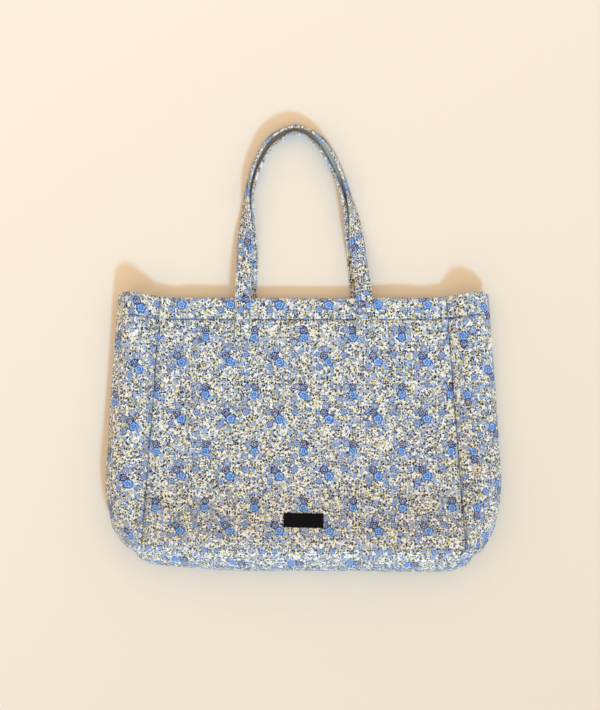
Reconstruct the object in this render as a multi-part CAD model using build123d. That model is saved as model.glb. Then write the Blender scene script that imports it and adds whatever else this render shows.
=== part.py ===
from build123d import *
import os

# A padded cloth tote bag that lies on its back, with its mouth open towards +Y and its two long handles
# laid out beyond the mouth. Millimetres. +X is to the right, +Y runs up the bag, +Z is away from its back.
# The origin is under the middle of the whole outline, on the surface that the bag lies on.

# Driving sizes
BODY_LENGTH = 345.0          # from the mouth's edge to the bottom of the base
HANDLE_DROP = 218.0          # how far a handle stands out past the mouth's edge
MOUTH_WIDTH = 359.0          # front and back panel, seam to seam, at the mouth
BASE_WIDTH = 405.0           # front and back panel, seam to seam, at the base
RIDGE_HEIGHT = 66.0          # the base seam of the front panel, above the surface
MOUTH_HEIGHT = 20.0          # the front panel's face at the mouth, above the surface

# Cloth
FACE_CLOTH = 1.0
WADDING = 1.6
LINING = 0.6
WALL = FACE_CLOTH + WADDING + LINING
HEM_DEPTH = 25.0
THREAD_WIDTH = 0.6
THREAD_HEIGHT = 0.3
SEAM_GAP = 0.2               # between two pieces that a seam joins
CREASE_GAP = 0.4             # between the front and back halves of the gusset

# Straps
STRAP_WIDTH = 20.0
STRAP_THICKNESS = 4.0
STRAP_COVER = 0.8
CORE_GAP = 0.1               # between the webbing core and its cover, all round
STRAP_SEWN_LENGTH = 50.0     # the stretch of strap sewn to the panel
STITCH_INSET = 2.0           # the thread box, inside the strap's edges
STITCH_BOX_LENGTH = 26.0
FRONT_STRAP_X = 76.5         # centre of each sewn end, from the bag's middle
BACK_STRAP_X = 69.0
FLOOR_GAP = 0.4              # what lies on the surface stands this much clear of it

# Label
LABEL_WIDTH = 50.0
LABEL_HEIGHT = 20.0
LABEL_THICKNESS = 0.8
LABEL_ABOVE_RIDGE = 33.0     # its middle, up the bag from the base seam

# The fall of the two walls, along the bag
RIDGE_INSET = 30.5           # the front panel's base seam, in from the bottom
HIP_LENGTH = 71.0            # the front panel's steep stretch, up from its base seam
WAIST_BELOW_MOUTH = 123.0    # the front panel's lowest place
STRAP_FOOT_MARGIN = 6.0      # both walls stay level this far past the sewn straps
LAY_DOWN_LENGTH = 18.0       # the back panel comes down to the surface over this length
HIP_HEIGHT = 34.0
WAIST_HEIGHT = 20.0

MOUTH_Y = (BODY_LENGTH - HANDLE_DROP) / 2
BOTTOM_Y = MOUTH_Y - BODY_LENGTH
RIDGE_Y = BOTTOM_Y + RIDGE_INSET
HIP_Y = RIDGE_Y + HIP_LENGTH
WAIST_Y = MOUTH_Y - WAIST_BELOW_MOUTH
HEM_LINE_Y = MOUTH_Y - HEM_DEPTH
STRAP_FOOT_Y = MOUTH_Y - STRAP_SEWN_LENGTH
FLAT_END_Y = STRAP_FOOT_Y - STRAP_FOOT_MARGIN
LAID_DOWN_Y = FLAT_END_Y - LAY_DOWN_LENGTH
STRAP_LIFT = STRAP_THICKNESS + FLOOR_GAP    # the back panel lies on its sewn straps
MOST_WIDE = 2 * BASE_WIDTH                  # reach of a cutting block, past everything

# The side gusset, one row for each cross-section from the mouth down: where it is, how far out from the
# panel's seam and how high its crease runs, and how far out from the seam and how far above the front
# panel's face the crown of its front half stands
GUSSET_ROWS = [
    # y           crease out  crease z  crown out  crown above face
    (MOUTH_Y,      54.3,       18.0,     28.3,      18.0),
    (FLAT_END_Y,   54.2,       17.0,     24.2,      15.0),
    (LAID_DOWN_Y,  54.4,       16.5,     23.9,      13.0),
    (WAIST_Y,      54.8,       16.0,     25.3,      11.0),
    (HIP_Y,        51.6,       22.0,     28.5,      12.0),
    (RIDGE_Y,      27.3,       30.0,     14.3,      -4.0),
]
BACK_HALF_BEND = 14.0        # the gusset's back half leaves the surface this far in from the crease
WADDING_SHORT = 2.0          # each inner layer of the gusset stops this much short of its crease
LINING_SHORT = 3.0
HEM_SHORT = 4.0

# The base, seen from the side, from the front panel's base seam round to the back panel's
BASE_BELLY_HEIGHT = 26.0
BASE_PROFILE = [
    (RIDGE_Y, RIDGE_HEIGHT),
    (BOTTOM_Y + 10.0, 52.0),
    (BOTTOM_Y, BASE_BELLY_HEIGHT),
    (BOTTOM_Y + 5.0, 6.0),
    (BOTTOM_Y + 18.0, 0.0),
    (BOTTOM_Y + 36.0, 0.0),
]
BASE_SEAM_Y = BASE_PROFILE[-1][0]
CORNER_OUT_AT_RIDGE = 19.5   # how far the base's corners stand out past the panels' seams
CORNER_OUT_AT_BOTTOM = 1.5

# The run of each handle's middle line from its left end to its right end: how far across, and how far out
# past the mouth's edge as a share of the handle's drop
FRONT_HANDLE_RUN = [
    (-FRONT_STRAP_X, 0.0), (-78.0, 0.22), (-78.0, 0.45), (-75.5, 0.63), (-64.0, 0.79), (-44.0, 0.92),
    (-8.0, 0.9815), (20.0, 0.92), (37.0, 0.82), (50.0, 0.69), (61.0, 0.52), (69.0, 0.25),
    (FRONT_STRAP_X, 0.0),
]
BACK_HANDLE_RUN = [
    (-BACK_STRAP_X, 0.0), (-67.5, 0.22), (-67.5, 0.45), (-66.5, 0.62), (-58.0, 0.76), (-37.0, 0.88),
    (-8.0, 0.93), (12.0, 0.87), (26.0, 0.78), (40.0, 0.65), (52.0, 0.48), (61.0, 0.24),
    (BACK_STRAP_X, 0.0),
]
TWIST_START = 35.0           # a strap lies flat up to here from its end
TWIST_END = 145.0            # and stands nearly on edge from here
TWIST_TURN = 80.0            # degrees
SLOPE_LENGTH = 130.0         # the front handle comes down to the surface over this length
HANDLE_SECTIONS = 32


def across(outline, half_width=MOST_WIDE):
    """Extrude an outline drawn in Y and Z to both sides of the bag's middle."""
    wire = Wire.make_polygon([(0, y, z) for y, z in outline], close=True)
    return extrude(Face(wire), amount=half_width, dir=(1, 0, 0), both=True)


def offset_line(line, distance):
    """Move an open line sideways, to the left of its run, with its corners mitred."""
    points = [Vector(y, z) for y, z in line]
    normals = []
    for start, end in zip(points, points[1:]):
        run = (end - start).normalized()
        normals.append(Vector(-run.Y, run.X))
    moved = []
    for index, point in enumerate(points):
        before = normals[max(index - 1, 0)]
        after = normals[min(index, len(normals) - 1)]
        middle = (before + after).normalized()
        shifted = point + middle * (distance / middle.dot(before))
        moved.append((shifted.X, shifted.Y))
    return moved


def layer(line, near, far):
    """The outline of a layer between two distances to the left of a line."""
    return offset_line(line, near) + offset_line(line, far)[::-1]


def between_seams(solid, start_y, end_y):
    """Trim a panel's layer to its tapered width and to a stretch of its length."""
    outline = [(half_width_at(y), y) for y in (start_y, end_y)]
    outline += [(-x, y) for x, y in outline[::-1]]
    wire = Wire.make_polygon([(x, y, -MOST_WIDE) for x, y in outline], close=True)
    return solid & extrude(Face(wire), amount=2 * MOST_WIDE, dir=(0, 0, 1))


def half_width_at(y):
    """Half of a panel's width, which grows evenly from the mouth to the ridge."""
    share = (MOUTH_Y - y) / (MOUTH_Y - RIDGE_Y)
    return (MOUTH_WIDTH + share * (BASE_WIDTH - MOUTH_WIDTH)) / 2


def height_on(line, y):
    """The height of a line drawn in Y and Z, from low Y to high Y, at a place along Y."""
    for (first_y, first_z), (last_y, last_z) in zip(line, line[1:]):
        if first_y <= y <= last_y:
            return first_z + (last_z - first_z) * (y - first_y) / (last_y - first_y)
    return line[0][1]


def gusset_row(y):
    """The gusset's crease and crown at a place along Y."""
    for upper, lower in zip(GUSSET_ROWS, GUSSET_ROWS[1:]):
        if lower[0] <= y <= upper[0]:
            share = (upper[0] - y) / (upper[0] - lower[0])
            return [a + share * (b - a) for a, b in zip(upper, lower)]
    return list(GUSSET_ROWS[-1])


# The panels' outer faces, each run so that the bag's inside is on its left
FRONT_FACE = [
    (RIDGE_Y, RIDGE_HEIGHT), (HIP_Y, HIP_HEIGHT), (WAIST_Y, WAIST_HEIGHT), (FLAT_END_Y, MOUTH_HEIGHT),
    (MOUTH_Y, MOUTH_HEIGHT),
]
FRONT_FACE_INWARD = FRONT_FACE[::-1]
BACK_FACE = [
    (BASE_SEAM_Y - SEAM_GAP, 0.0), (LAID_DOWN_Y, 0.0), (FLAT_END_Y, STRAP_LIFT), (MOUTH_Y, STRAP_LIFT),
]
LAYERS = [
    ("panel", 0.0, FACE_CLOTH),
    ("wadding", FACE_CLOTH, FACE_CLOTH + WADDING),
    ("lining", FACE_CLOTH + WADDING, WALL),
]


def panel_layers():
    """Face, wadding and lining of the front and back, which all end under the hem's fold."""
    made = {}
    top = MOUTH_Y - FACE_CLOTH
    for name, near, far in LAYERS:
        front = across(layer(FRONT_FACE_INWARD, near, far))
        made["front_" + name] = between_seams(front, top, RIDGE_Y + SEAM_GAP)
        back = across(layer(BACK_FACE, near, far))
        made["back_" + name] = between_seams(back, top, BASE_SEAM_Y)
    return made


def hems():
    """The mouth's edge of each panel: the face cloth folded over the edge and down inside."""
    made = {}
    inner_top = MOUTH_Y - FACE_CLOTH
    for name, face_z, inward in (("front", MOUTH_HEIGHT, -1), ("back", STRAP_LIFT, 1)):
        lining_z = face_z + inward * WALL
        hem_z = lining_z + inward * FACE_CLOTH
        outline = [
            (MOUTH_Y, face_z), (MOUTH_Y, hem_z), (HEM_LINE_Y, hem_z), (HEM_LINE_Y, lining_z),
            (inner_top, lining_z), (inner_top, face_z),
        ]
        made[name + "_hem"] = between_seams(across(outline), MOUTH_Y, HEM_LINE_Y)
    return made


def trimmed(line, seam_x, end_z):
    """An open cross-section line whose first point moves to the seam's X and its last to a height."""
    (first_x, first_z), (next_x, next_z) = line[:2]
    (before_x, before_z), (last_x, last_z) = line[-2:]
    seam_z = first_z + (seam_x - first_x) / (next_x - first_x) * (next_z - first_z)
    end_x = before_x + (end_z - before_z) / (last_z - before_z) * (last_x - before_x)
    return [(seam_x, seam_z)] + line[1:-1] + [(end_x, end_z)]


def gusset_front_outline(y, near, far, short_of_crease):
    """Cross-section of the gusset's front half: out from the seam, over the crown, down to the crease."""
    _, crease_out, crease_z, crown_out, crown_rise = gusset_row(y)
    seam_x = half_width_at(y) + SEAM_GAP
    face_z = height_on(FRONT_FACE, y)
    line = [(seam_x, face_z), (seam_x + crown_out, face_z + crown_rise), (seam_x + crease_out, crease_z)]
    foot_z = crease_z + short_of_crease
    outer = trimmed(offset_line(line, -near), seam_x, foot_z)
    inner = trimmed(offset_line(line, -far), seam_x, foot_z)
    return outer + inner[::-1]


def gusset_back_outline(y, near, far, short_of_crease):
    """Cross-section of the gusset's back half: out from the seam along the surface, up to the crease."""
    _, crease_out, crease_z, _, _ = gusset_row(y)
    seam_x = half_width_at(y) + SEAM_GAP
    crease_x = seam_x + crease_out
    line = [(seam_x, height_on(BACK_FACE, y)), (crease_x - BACK_HALF_BEND, 0.0), (crease_x, crease_z)]
    top_z = crease_z - CREASE_GAP - short_of_crease
    outer = trimmed(offset_line(line, near), seam_x, top_z)
    inner = trimmed(offset_line(line, far), seam_x, top_z)
    return outer + inner[::-1]


def gusset_piece(outline_at, top_y, bottom_y, near, far, short_of_crease):
    """Loft one half of the right gusset between two places along Y."""
    stops = [row[0] for row in GUSSET_ROWS if bottom_y < row[0] < top_y]
    wires = []
    for y in [top_y] + stops + [bottom_y]:
        outline = outline_at(y, near, far, short_of_crease)
        wires.append(Wire.make_polygon([(x, y, z) for x, z in outline], close=True))
    return Solid.make_loft(wires, ruled=True)


def gussets():
    """Face cloth, wadding, lining and mouth hem of both side gussets, split along the crease."""
    made = {}
    foot_y = RIDGE_Y + SEAM_GAP
    under_fold_y = MOUTH_Y - FACE_CLOTH
    wadding_start = FACE_CLOTH + SEAM_GAP
    lining_start = wadding_start + WADDING + SEAM_GAP
    hem_start = lining_start + LINING + SEAM_GAP
    for half, outline_at in (("front", gusset_front_outline), ("back", gusset_back_outline)):
        layers = {
            "gusset_": gusset_piece(outline_at, MOUTH_Y, foot_y, 0.0, FACE_CLOTH, 0.0),
            "gusset_wadding_": gusset_piece(
                outline_at, under_fold_y, foot_y, wadding_start, wadding_start + WADDING, WADDING_SHORT
            ),
            "gusset_lining_": gusset_piece(
                outline_at, under_fold_y, foot_y, lining_start, lining_start + LINING, LINING_SHORT
            ),
        }
        for name, piece in layers.items():
            made["right_" + name + half] = piece
            made["left_" + name + half] = mirror(piece, about=Plane.YZ)
        hem = gusset_piece(outline_at, under_fold_y, HEM_LINE_Y, hem_start, hem_start + FACE_CLOTH, HEM_SHORT)
        made[half + "_gusset_hems"] = Compound([hem, mirror(hem, about=Plane.YZ)])
    return made


def scoop(depth):
    """The filled shape of the base and its two corners, inside its face by a depth."""
    line = offset_line(BASE_PROFILE, depth)
    beyond_y = RIDGE_Y + RIDGE_INSET
    filled = across(line + [(beyond_y, line[-1][1]), (beyond_y, line[0][1])])
    wide = BASE_WIDTH / 2 + CORNER_OUT_AT_RIDGE - depth
    narrow = BASE_WIDTH / 2 + CORNER_OUT_AT_BOTTOM - depth
    plan = [(wide, RIDGE_Y), (narrow, BOTTOM_Y), (-narrow, BOTTOM_Y), (-wide, RIDGE_Y)]
    wire = Wire.make_polygon([(x, y, -MOST_WIDE) for x, y in plan], close=True)
    return filled & extrude(Face(wire), amount=2 * MOST_WIDE, dir=(0, 0, 1))


def base():
    """The gusset band under the bag with its two corners, its wadding and its lining."""
    wadding_start = FACE_CLOTH + SEAM_GAP
    lining_start = wadding_start + WADDING + SEAM_GAP
    floor_strip = layer([(RIDGE_Y - 1.0, 0.0), (BASE_SEAM_Y, 0.0)], 0.0, FACE_CLOTH)
    return {
        "base_gusset": scoop(0.0) - scoop(FACE_CLOTH) + across(floor_strip, half_width_at(BASE_SEAM_Y)),
        "base_wadding": scoop(wadding_start) - scoop(wadding_start + WADDING),
        "base_lining": scoop(lining_start) - scoop(lining_start + LINING),
    }


def block(x, y, z, width, length, height):
    """A plain block by its middle in X and Y and its lowest Z."""
    return Pos(x, y, z) * Box(width, length, height, align=(Align.CENTER, Align.CENTER, Align.MIN))


def thread_box(x, y, z, width, length):
    """A closed run of thread round a rectangle."""
    outer = block(x, y, z, width, length, THREAD_HEIGHT)
    return outer - block(x, y, z, width - 2 * THREAD_WIDTH, length - 2 * THREAD_WIDTH, THREAD_HEIGHT)


def sewn_straps():
    """The sewn ends of both handles, their thread boxes, and the hem threads that pass beside them."""
    made = {}
    middle_y = MOUTH_Y - STRAP_SEWN_LENGTH / 2
    box_y = STRAP_FOOT_Y + STITCH_INSET + STITCH_BOX_LENGTH / 2
    box_width = STRAP_WIDTH - 2 * STITCH_INSET
    places = (
        ("front", FRONT_STRAP_X, MOUTH_HEIGHT, MOUTH_HEIGHT + STRAP_THICKNESS, MOUTH_HEIGHT),
        ("back", BACK_STRAP_X, FLOOR_GAP, FLOOR_GAP - THREAD_HEIGHT, STRAP_LIFT - THREAD_HEIGHT),
    )
    for name, strap_x, strap_z, box_z, hem_z in places:
        ends = [block(x, middle_y, strap_z, STRAP_WIDTH, STRAP_SEWN_LENGTH, STRAP_THICKNESS)
                for x in (-strap_x, strap_x)]
        boxes = [thread_box(x, box_y, box_z, box_width, STITCH_BOX_LENGTH) for x in (-strap_x, strap_x)]
        run = block(0, HEM_LINE_Y, hem_z, 2 * half_width_at(HEM_LINE_Y), THREAD_WIDTH, THREAD_HEIGHT)
        for x in (-strap_x, strap_x):
            run -= block(x, HEM_LINE_Y, hem_z, STRAP_WIDTH + 2 * SEAM_GAP, STRAP_WIDTH, STRAP_THICKNESS)
        made[name + "_strap_ends"] = Compound(ends)
        made[name + "_strap_stitching"] = Compound([box.solid() for box in boxes])
        made[name + "_hem_stitching"] = Compound(run.solids())
    return made


def label():
    """The small woven label on the front panel's slope, and the thread along its two short ends."""
    (low_y, low_z), (high_y, high_z) = FRONT_FACE[0], FRONT_FACE[1]
    slope = Vector(high_y - low_y, high_z - low_z).get_angle(Vector(1, 0))
    y = RIDGE_Y + LABEL_ABOVE_RIDGE
    place = Pos(0, y, height_on(FRONT_FACE, y)) * Rot(-slope, 0, 0)
    thread_x = LABEL_WIDTH / 2 - STITCH_INSET
    threads = [block(x, 0, LABEL_THICKNESS, THREAD_WIDTH, LABEL_HEIGHT - STITCH_INSET, THREAD_HEIGHT)
               for x in (-thread_x, thread_x)]
    return {
        "label": place * block(0, 0, 0, LABEL_WIDTH, LABEL_HEIGHT, LABEL_THICKNESS),
        "label_stitching": Compound([(place * thread).solid() for thread in threads]),
    }


def eased(distance, start, end):
    """From 0 at the start to 1 at the end, with no sudden change at either."""
    share = min(max((distance - start) / (end - start), 0.0), 1.0)
    return share * share * (3.0 - 2.0 * share)


def strap_loft(run, start_z, width, thickness):
    """Loft a strap along a handle's run: flat at both ends, turned nearly on edge in between."""
    first_y = MOUTH_Y + SEAM_GAP
    points = [(x, first_y + share * HANDLE_DROP, 0) for x, share in run]
    route = Edge.make_spline([Vector(*p) for p in points], tangents=[Vector(0, 1, 0), Vector(0, -1, 0)])
    wires = []
    for index in range(HANDLE_SECTIONS + 1):
        distance = route.length * index / HANDLE_SECTIONS
        from_end = min(distance, route.length - distance)
        place = route.position_at(distance, position_mode=PositionMode.LENGTH)
        along = route.tangent_at(distance, position_mode=PositionMode.LENGTH)
        turn = TWIST_TURN * eased(from_end, TWIST_START, TWIST_END)
        face = Vector(0, 0, 1).rotate(Axis((0, 0, 0), along), -turn)
        side = along.cross(face)
        resting_z = (abs(side.Z) * STRAP_WIDTH + abs(face.Z) * STRAP_THICKNESS) / 2 + FLOOR_GAP
        lift = (start_z - FLOOR_GAP - STRAP_THICKNESS / 2) * (1 - eased(from_end, 0, SLOPE_LENGTH))
        middle = place + Vector(0, 0, resting_z + lift)
        across_half = side * (width / 2)
        face_half = face * (thickness / 2)
        corners = [
            middle - across_half - face_half, middle + across_half - face_half,
            middle + across_half + face_half, middle - across_half + face_half,
        ]
        wires.append(Wire.make_polygon(corners, close=True))
    return Solid.make_loft(wires, ruled=True)


def handles():
    """Both loops past the mouth's edge: a sewn cover round a webbing core."""
    made = {}
    inner_width = STRAP_WIDTH - 2 * STRAP_COVER
    inner_thickness = STRAP_THICKNESS - 2 * STRAP_COVER
    starts = (
        ("front", FRONT_HANDLE_RUN, MOUTH_HEIGHT + STRAP_THICKNESS / 2),
        ("back", BACK_HANDLE_RUN, FLOOR_GAP + STRAP_THICKNESS / 2),
    )
    for name, run, start_z in starts:
        outer = strap_loft(run, start_z, STRAP_WIDTH, STRAP_THICKNESS)
        inner = strap_loft(run, start_z, inner_width, inner_thickness)
        made[name + "_handle"] = outer - inner
        made[name + "_handle_webbing"] = strap_loft(
            run, start_z, inner_width - 2 * CORE_GAP, inner_thickness - 2 * CORE_GAP
        )
    return made


def bag():
    """Every piece of the bag by its name."""
    return {**panel_layers(), **hems(), **gussets(), **base(), **sewn_straps(), **label(), **handles()}


os.makedirs("parts", exist_ok=True)
for piece_name, piece in bag().items():
    export_step(piece, f"parts/{piece_name}.step")
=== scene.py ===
import math

import bpy
import numpy as np
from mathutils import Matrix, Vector, noise
from mathutils.bvhtree import BVHTree


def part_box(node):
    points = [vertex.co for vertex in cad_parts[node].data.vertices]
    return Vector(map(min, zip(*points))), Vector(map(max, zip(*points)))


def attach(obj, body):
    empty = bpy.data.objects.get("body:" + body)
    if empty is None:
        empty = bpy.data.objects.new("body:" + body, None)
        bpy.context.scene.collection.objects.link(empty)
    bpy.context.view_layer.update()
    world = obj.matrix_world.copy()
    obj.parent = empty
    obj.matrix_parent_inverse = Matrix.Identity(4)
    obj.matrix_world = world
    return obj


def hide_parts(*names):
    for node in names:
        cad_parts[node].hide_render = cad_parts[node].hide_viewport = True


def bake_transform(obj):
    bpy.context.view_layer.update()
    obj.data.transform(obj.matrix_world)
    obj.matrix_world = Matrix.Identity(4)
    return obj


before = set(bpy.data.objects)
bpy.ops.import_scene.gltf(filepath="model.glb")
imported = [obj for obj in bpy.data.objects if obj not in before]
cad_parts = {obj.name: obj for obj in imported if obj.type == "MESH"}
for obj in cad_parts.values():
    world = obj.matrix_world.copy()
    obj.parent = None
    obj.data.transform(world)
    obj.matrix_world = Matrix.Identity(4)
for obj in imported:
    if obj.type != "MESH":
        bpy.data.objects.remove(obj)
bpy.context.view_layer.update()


# ------------------------------------------------------------
# Camera, floor and light
# The bag is looked at from straight above. A plain cream floor lies under it, one broad lamp stands low
# down on the right, and the room round it gives a warm fill.
# ------------------------------------------------------------
MM = 0.001
CAMERA_HEIGHT = 3000 * MM
CAMERA_ASIDE = -4.4 * MM
CAMERA_UP = -9.5 * MM
VIEW_HEIGHT = 902 * MM           # what the view spans at the floor, from top to bottom
SENSOR_HEIGHT = 24.0


def put(name, data):
    """Put a mesh, a lamp or a camera into the scene as an object."""
    thing = bpy.data.objects.new(name, data)
    bpy.context.scene.collection.objects.link(thing)
    return thing


camera_data = bpy.data.cameras.new("camera")
camera_data.sensor_fit = "VERTICAL"
camera_data.sensor_height = SENSOR_HEIGHT
camera_data.sensor_width = SENSOR_HEIGHT
camera_data.lens = SENSOR_HEIGHT * CAMERA_HEIGHT / VIEW_HEIGHT
camera = put("camera", camera_data)
camera.location = (CAMERA_ASIDE, CAMERA_UP, CAMERA_HEIGHT)
bpy.context.scene.camera = camera
bpy.context.scene.view_settings.view_transform = "Standard"

LAMP_COLOUR = (0.20, 0.59, 1.0)
LAMP_STRENGTH = 2.14
LAMP_SPREAD = math.radians(8.5)
LAMP_TOWARDS = Vector((0.27, -0.68, 0.68))      # from the bag to the lamp
FILL_COLOUR = (1.0, 0.825, 0.622)
FILL_LOW = 0.82                  # how bright the room is level with the bag, and how much more overhead
FILL_RISE = 0.27

lamp_data = bpy.data.lights.new("key_lamp", "SUN")
lamp_data.color = LAMP_COLOUR
lamp_data.energy = LAMP_STRENGTH
lamp_data.angle = LAMP_SPREAD
lamp = put("key_lamp", lamp_data)
lamp.rotation_mode = "QUATERNION"
lamp.rotation_quaternion = LAMP_TOWARDS.to_track_quat("Z", "Y")


def joined(tree, target, value):
    """Feed an input from a socket, or give it a plain value."""
    if isinstance(value, bpy.types.NodeSocket):
        tree.links.new(value, target)
    else:
        target.default_value = value


def feed(tree, node, sockets):
    """Feed a node's inputs by their names."""
    for name, value in sockets.items():
        joined(tree, node.inputs[name], value)


def added(tree, kind, *values, **settings):
    """Add a node with its settings, and feed its first inputs."""
    node = tree.nodes.new(kind)
    for name, value in settings.items():
        setattr(node, name, value)
    for target, value in zip(node.inputs, values):
        joined(tree, target, value)
    return node


def maths(tree, operation, *values):
    return added(tree, "ShaderNodeMath", *values, operation=operation).outputs[0]


def vector_maths(tree, operation, *values):
    node = added(tree, "ShaderNodeVectorMath", *values, operation=operation)
    return node.outputs["Value" if operation == "LENGTH" else "Vector"]


def scaled(tree, vector, factor):
    node = added(tree, "ShaderNodeVectorMath", vector, operation="SCALE")
    joined(tree, node.inputs["Scale"], factor)
    return node.outputs["Vector"]


def ranged(tree, value, low, high, to_low=0.0, to_high=1.0):
    return added(tree, "ShaderNodeMapRange", value, low, high, to_low, to_high).outputs[0]


def split(tree, vector):
    """A vector's three parts."""
    return added(tree, "ShaderNodeSeparateXYZ", vector).outputs


world = bpy.data.worlds.new("studio")
world.use_nodes = True
room = world.node_tree
looking = split(room, added(room, "ShaderNodeTexCoord").outputs["Generated"])
overhead = maths(room, "MULTIPLY_ADD", looking["Z"], FILL_RISE, FILL_LOW)
feed(room, room.nodes["Background"], {"Color": (*FILL_COLOUR, 1.0), "Strength": overhead})
bpy.context.scene.world = world


def paint(red, green, blue):
    """A colour given as it looks on screen, 0 to 255, as a shader takes it."""
    shares = [value / 255 for value in (red, green, blue)]
    return (*[s / 12.92 if s <= 0.04045 else ((s + 0.055) / 1.055) ** 2.4 for s in shares], 1.0)


def new_material(name):
    """A material with its tree and its main shader."""
    material = bpy.data.materials.new(name)
    material.use_nodes = True
    return material, material.node_tree, material.node_tree.nodes["Principled BSDF"]


FLOOR_COLOUR = (0.918, 0.80, 0.665)
FLOOR_HALF = 4.0
FLOOR_BELOW = 0.3 * MM
# Painted shade on the floor, darker towards one corner: along each axis, where the floor starts to darken,
# where it ends, and how much is left
FLOOR_PAINTED_SHADE = (("X", -0.38, 0.38, 0.95), ("Y", 0.45, -0.45, 0.91))

floor_material, floor_tree, floor_shader = new_material("floor_paint_and_shade")
floor_place = split(floor_tree, added(floor_tree, "ShaderNodeTexCoord").outputs["Object"])
floor_painted_shade = [
    ranged(floor_tree, floor_place[axis], start, end, 1.0, left) for axis, start, end, left in FLOOR_PAINTED_SHADE
]
floor_paint_and_shade = scaled(floor_tree, FLOOR_COLOUR, maths(floor_tree, "MULTIPLY", *floor_painted_shade))
feed(floor_tree, floor_shader, {"Base Color": floor_paint_and_shade, "Roughness": 0.9, "Specular IOR Level": 0.1})
floor_mesh = bpy.data.meshes.new("floor")
floor_corners = [
    (x * FLOOR_HALF, y * FLOOR_HALF, -FLOOR_BELOW) for x, y in ((-1, -1), (1, -1), (1, 1), (-1, 1))
]
floor_mesh.from_pydata(floor_corners, [], [(0, 1, 2, 3)])
floor_mesh.materials.append(floor_material)
floor = put("floor", floor_mesh)


# ------------------------------------------------------------
# Front panel
# Printed cotton over thin wadding, with a plain lining. Its top edge is turned in for a 25 mm hem, and it
# is sewn to the gusset down both sides and along the base. It sinks in the middle and climbs over the base.
# ------------------------------------------------------------
def mixed(tree, share, under, over, blend_type="MIX"):
    node = added(tree, "ShaderNodeMix", share, data_type="RGBA", blend_type=blend_type)
    joined(tree, node.inputs[6], under)
    joined(tree, node.inputs[7], over)
    return node.outputs[2]


def cloudiness(tree, vector, scale, detail=2.0, kind="Fac"):
    node = added(tree, "ShaderNodeTexNoise", vector)
    feed(tree, node, {"Scale": scale, "Detail": detail})
    return node.outputs[kind]


def bumped(tree, shader, height, strength, distance):
    """Raise and sink the surface by a height, in light and shade only."""
    bump = added(tree, "ShaderNodeBump")
    feed(tree, bump, {"Strength": strength, "Distance": distance, "Height": height})
    joined(tree, shader.inputs["Normal"], bump.outputs[0])


def cloth_place(tree):
    """Where a point is on the flat cloth, in millimetres."""
    return scaled(tree, added(tree, "ShaderNodeUVMap", uv_map="cloth").outputs["UV"], 1000.0)


def weave_height(tree, place, pitch):
    """The over and under of a plain weave, from -1 to 1."""
    axes = split(tree, place)
    turns = [maths(tree, "MULTIPLY", axes[name], 2 * math.pi / pitch) for name in "XY"]
    return maths(tree, "MULTIPLY", *[maths(tree, "SINE", turn) for turn in turns])


def flower_group():
    """A round of petals: how far a place is from the flower's middle, against the outline on that side."""
    tree = bpy.data.node_groups.new("flower_outline", "ShaderNodeTree")
    tree.interface.new_socket("Place", in_out="INPUT", socket_type="NodeSocketVector")
    for name in ("Radius", "Petals", "Notch", "Turn"):
        tree.interface.new_socket(name, in_out="INPUT", socket_type="NodeSocketFloat")
    tree.interface.new_socket("Outline", in_out="OUTPUT", socket_type="NodeSocketFloat")
    given = tree.nodes.new("NodeGroupInput").outputs
    axes = split(tree, given["Place"])
    angle = maths(tree, "ARCTAN2", axes["Y"], axes["X"])
    turned = maths(tree, "ADD", angle, given["Turn"])
    wave = maths(tree, "COSINE", maths(tree, "MULTIPLY", turned, given["Petals"]))
    dip = maths(tree, "MULTIPLY", maths(tree, "MULTIPLY_ADD", wave, -0.5, 0.5), given["Notch"])
    edge = maths(tree, "MULTIPLY", maths(tree, "SUBTRACT", 1.0, dip), given["Radius"])
    far = vector_maths(tree, "LENGTH", given["Place"])
    joined(tree, tree.nodes.new("NodeGroupOutput").inputs["Outline"], maths(tree, "DIVIDE", far, edge))
    return tree


FLOWER = flower_group()
PETAL_SHADE = (0.42, 0.46, 0.58, 1.0)           # what the printed outline does to a petal's colour
FOLD_SPACING = 0.42              # between a flower's pale rings, as a share of its radius


def flower(tree, under, place, radius, petals, notch, turn, petal, heart, present=None):
    """Print one flower over what is there: dark-edged petals, paler inside, round a small heart."""
    node = added(tree, "ShaderNodeGroup", node_tree=FLOWER)
    feed(tree, node, {"Place": place, "Radius": radius, "Petals": petals, "Notch": notch, "Turn": turn})
    outline = node.outputs[0]
    inside = ranged(tree, outline, 1.12, 0.99)
    if present is not None:
        inside = maths(tree, "MULTIPLY", inside, present)
    darker = mixed(tree, 1.0, petal, PETAL_SHADE, "MULTIPLY")
    fold = maths(tree, "COSINE", maths(tree, "MULTIPLY", outline, 2 * math.pi / FOLD_SPACING))
    folded = mixed(tree, ranged(tree, fold, -0.95, 0.1, 0.5, 0.0), petal, OFF_WHITE)
    shaded = mixed(tree, ranged(tree, outline, 0.8, 0.94), folded, darker)
    middle = mixed(tree, ranged(tree, outline, 0.42, 0.32), shaded, darker)
    whole = mixed(tree, ranged(tree, outline, 0.30, 0.22), middle, heart)
    return mixed(tree, inside, under, whole)


def palette(tree, share, colours):
    """One of several printing colours, picked by a share from 0 to 1."""
    node = tree.nodes.new("ShaderNodeValToRGB")
    ramp = node.color_ramp
    ramp.interpolation = "CONSTANT"
    ramp.elements[0].color = colours[0]
    ramp.elements[0].position = 0.0
    ramp.elements[1].color = colours[1]
    ramp.elements[1].position = 1 / len(colours)
    for index, colour in enumerate(colours[2:], start=2):
        ramp.elements.new(index / len(colours)).color = colour
    joined(tree, node.inputs[0], share)
    return node.outputs[0]


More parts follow.
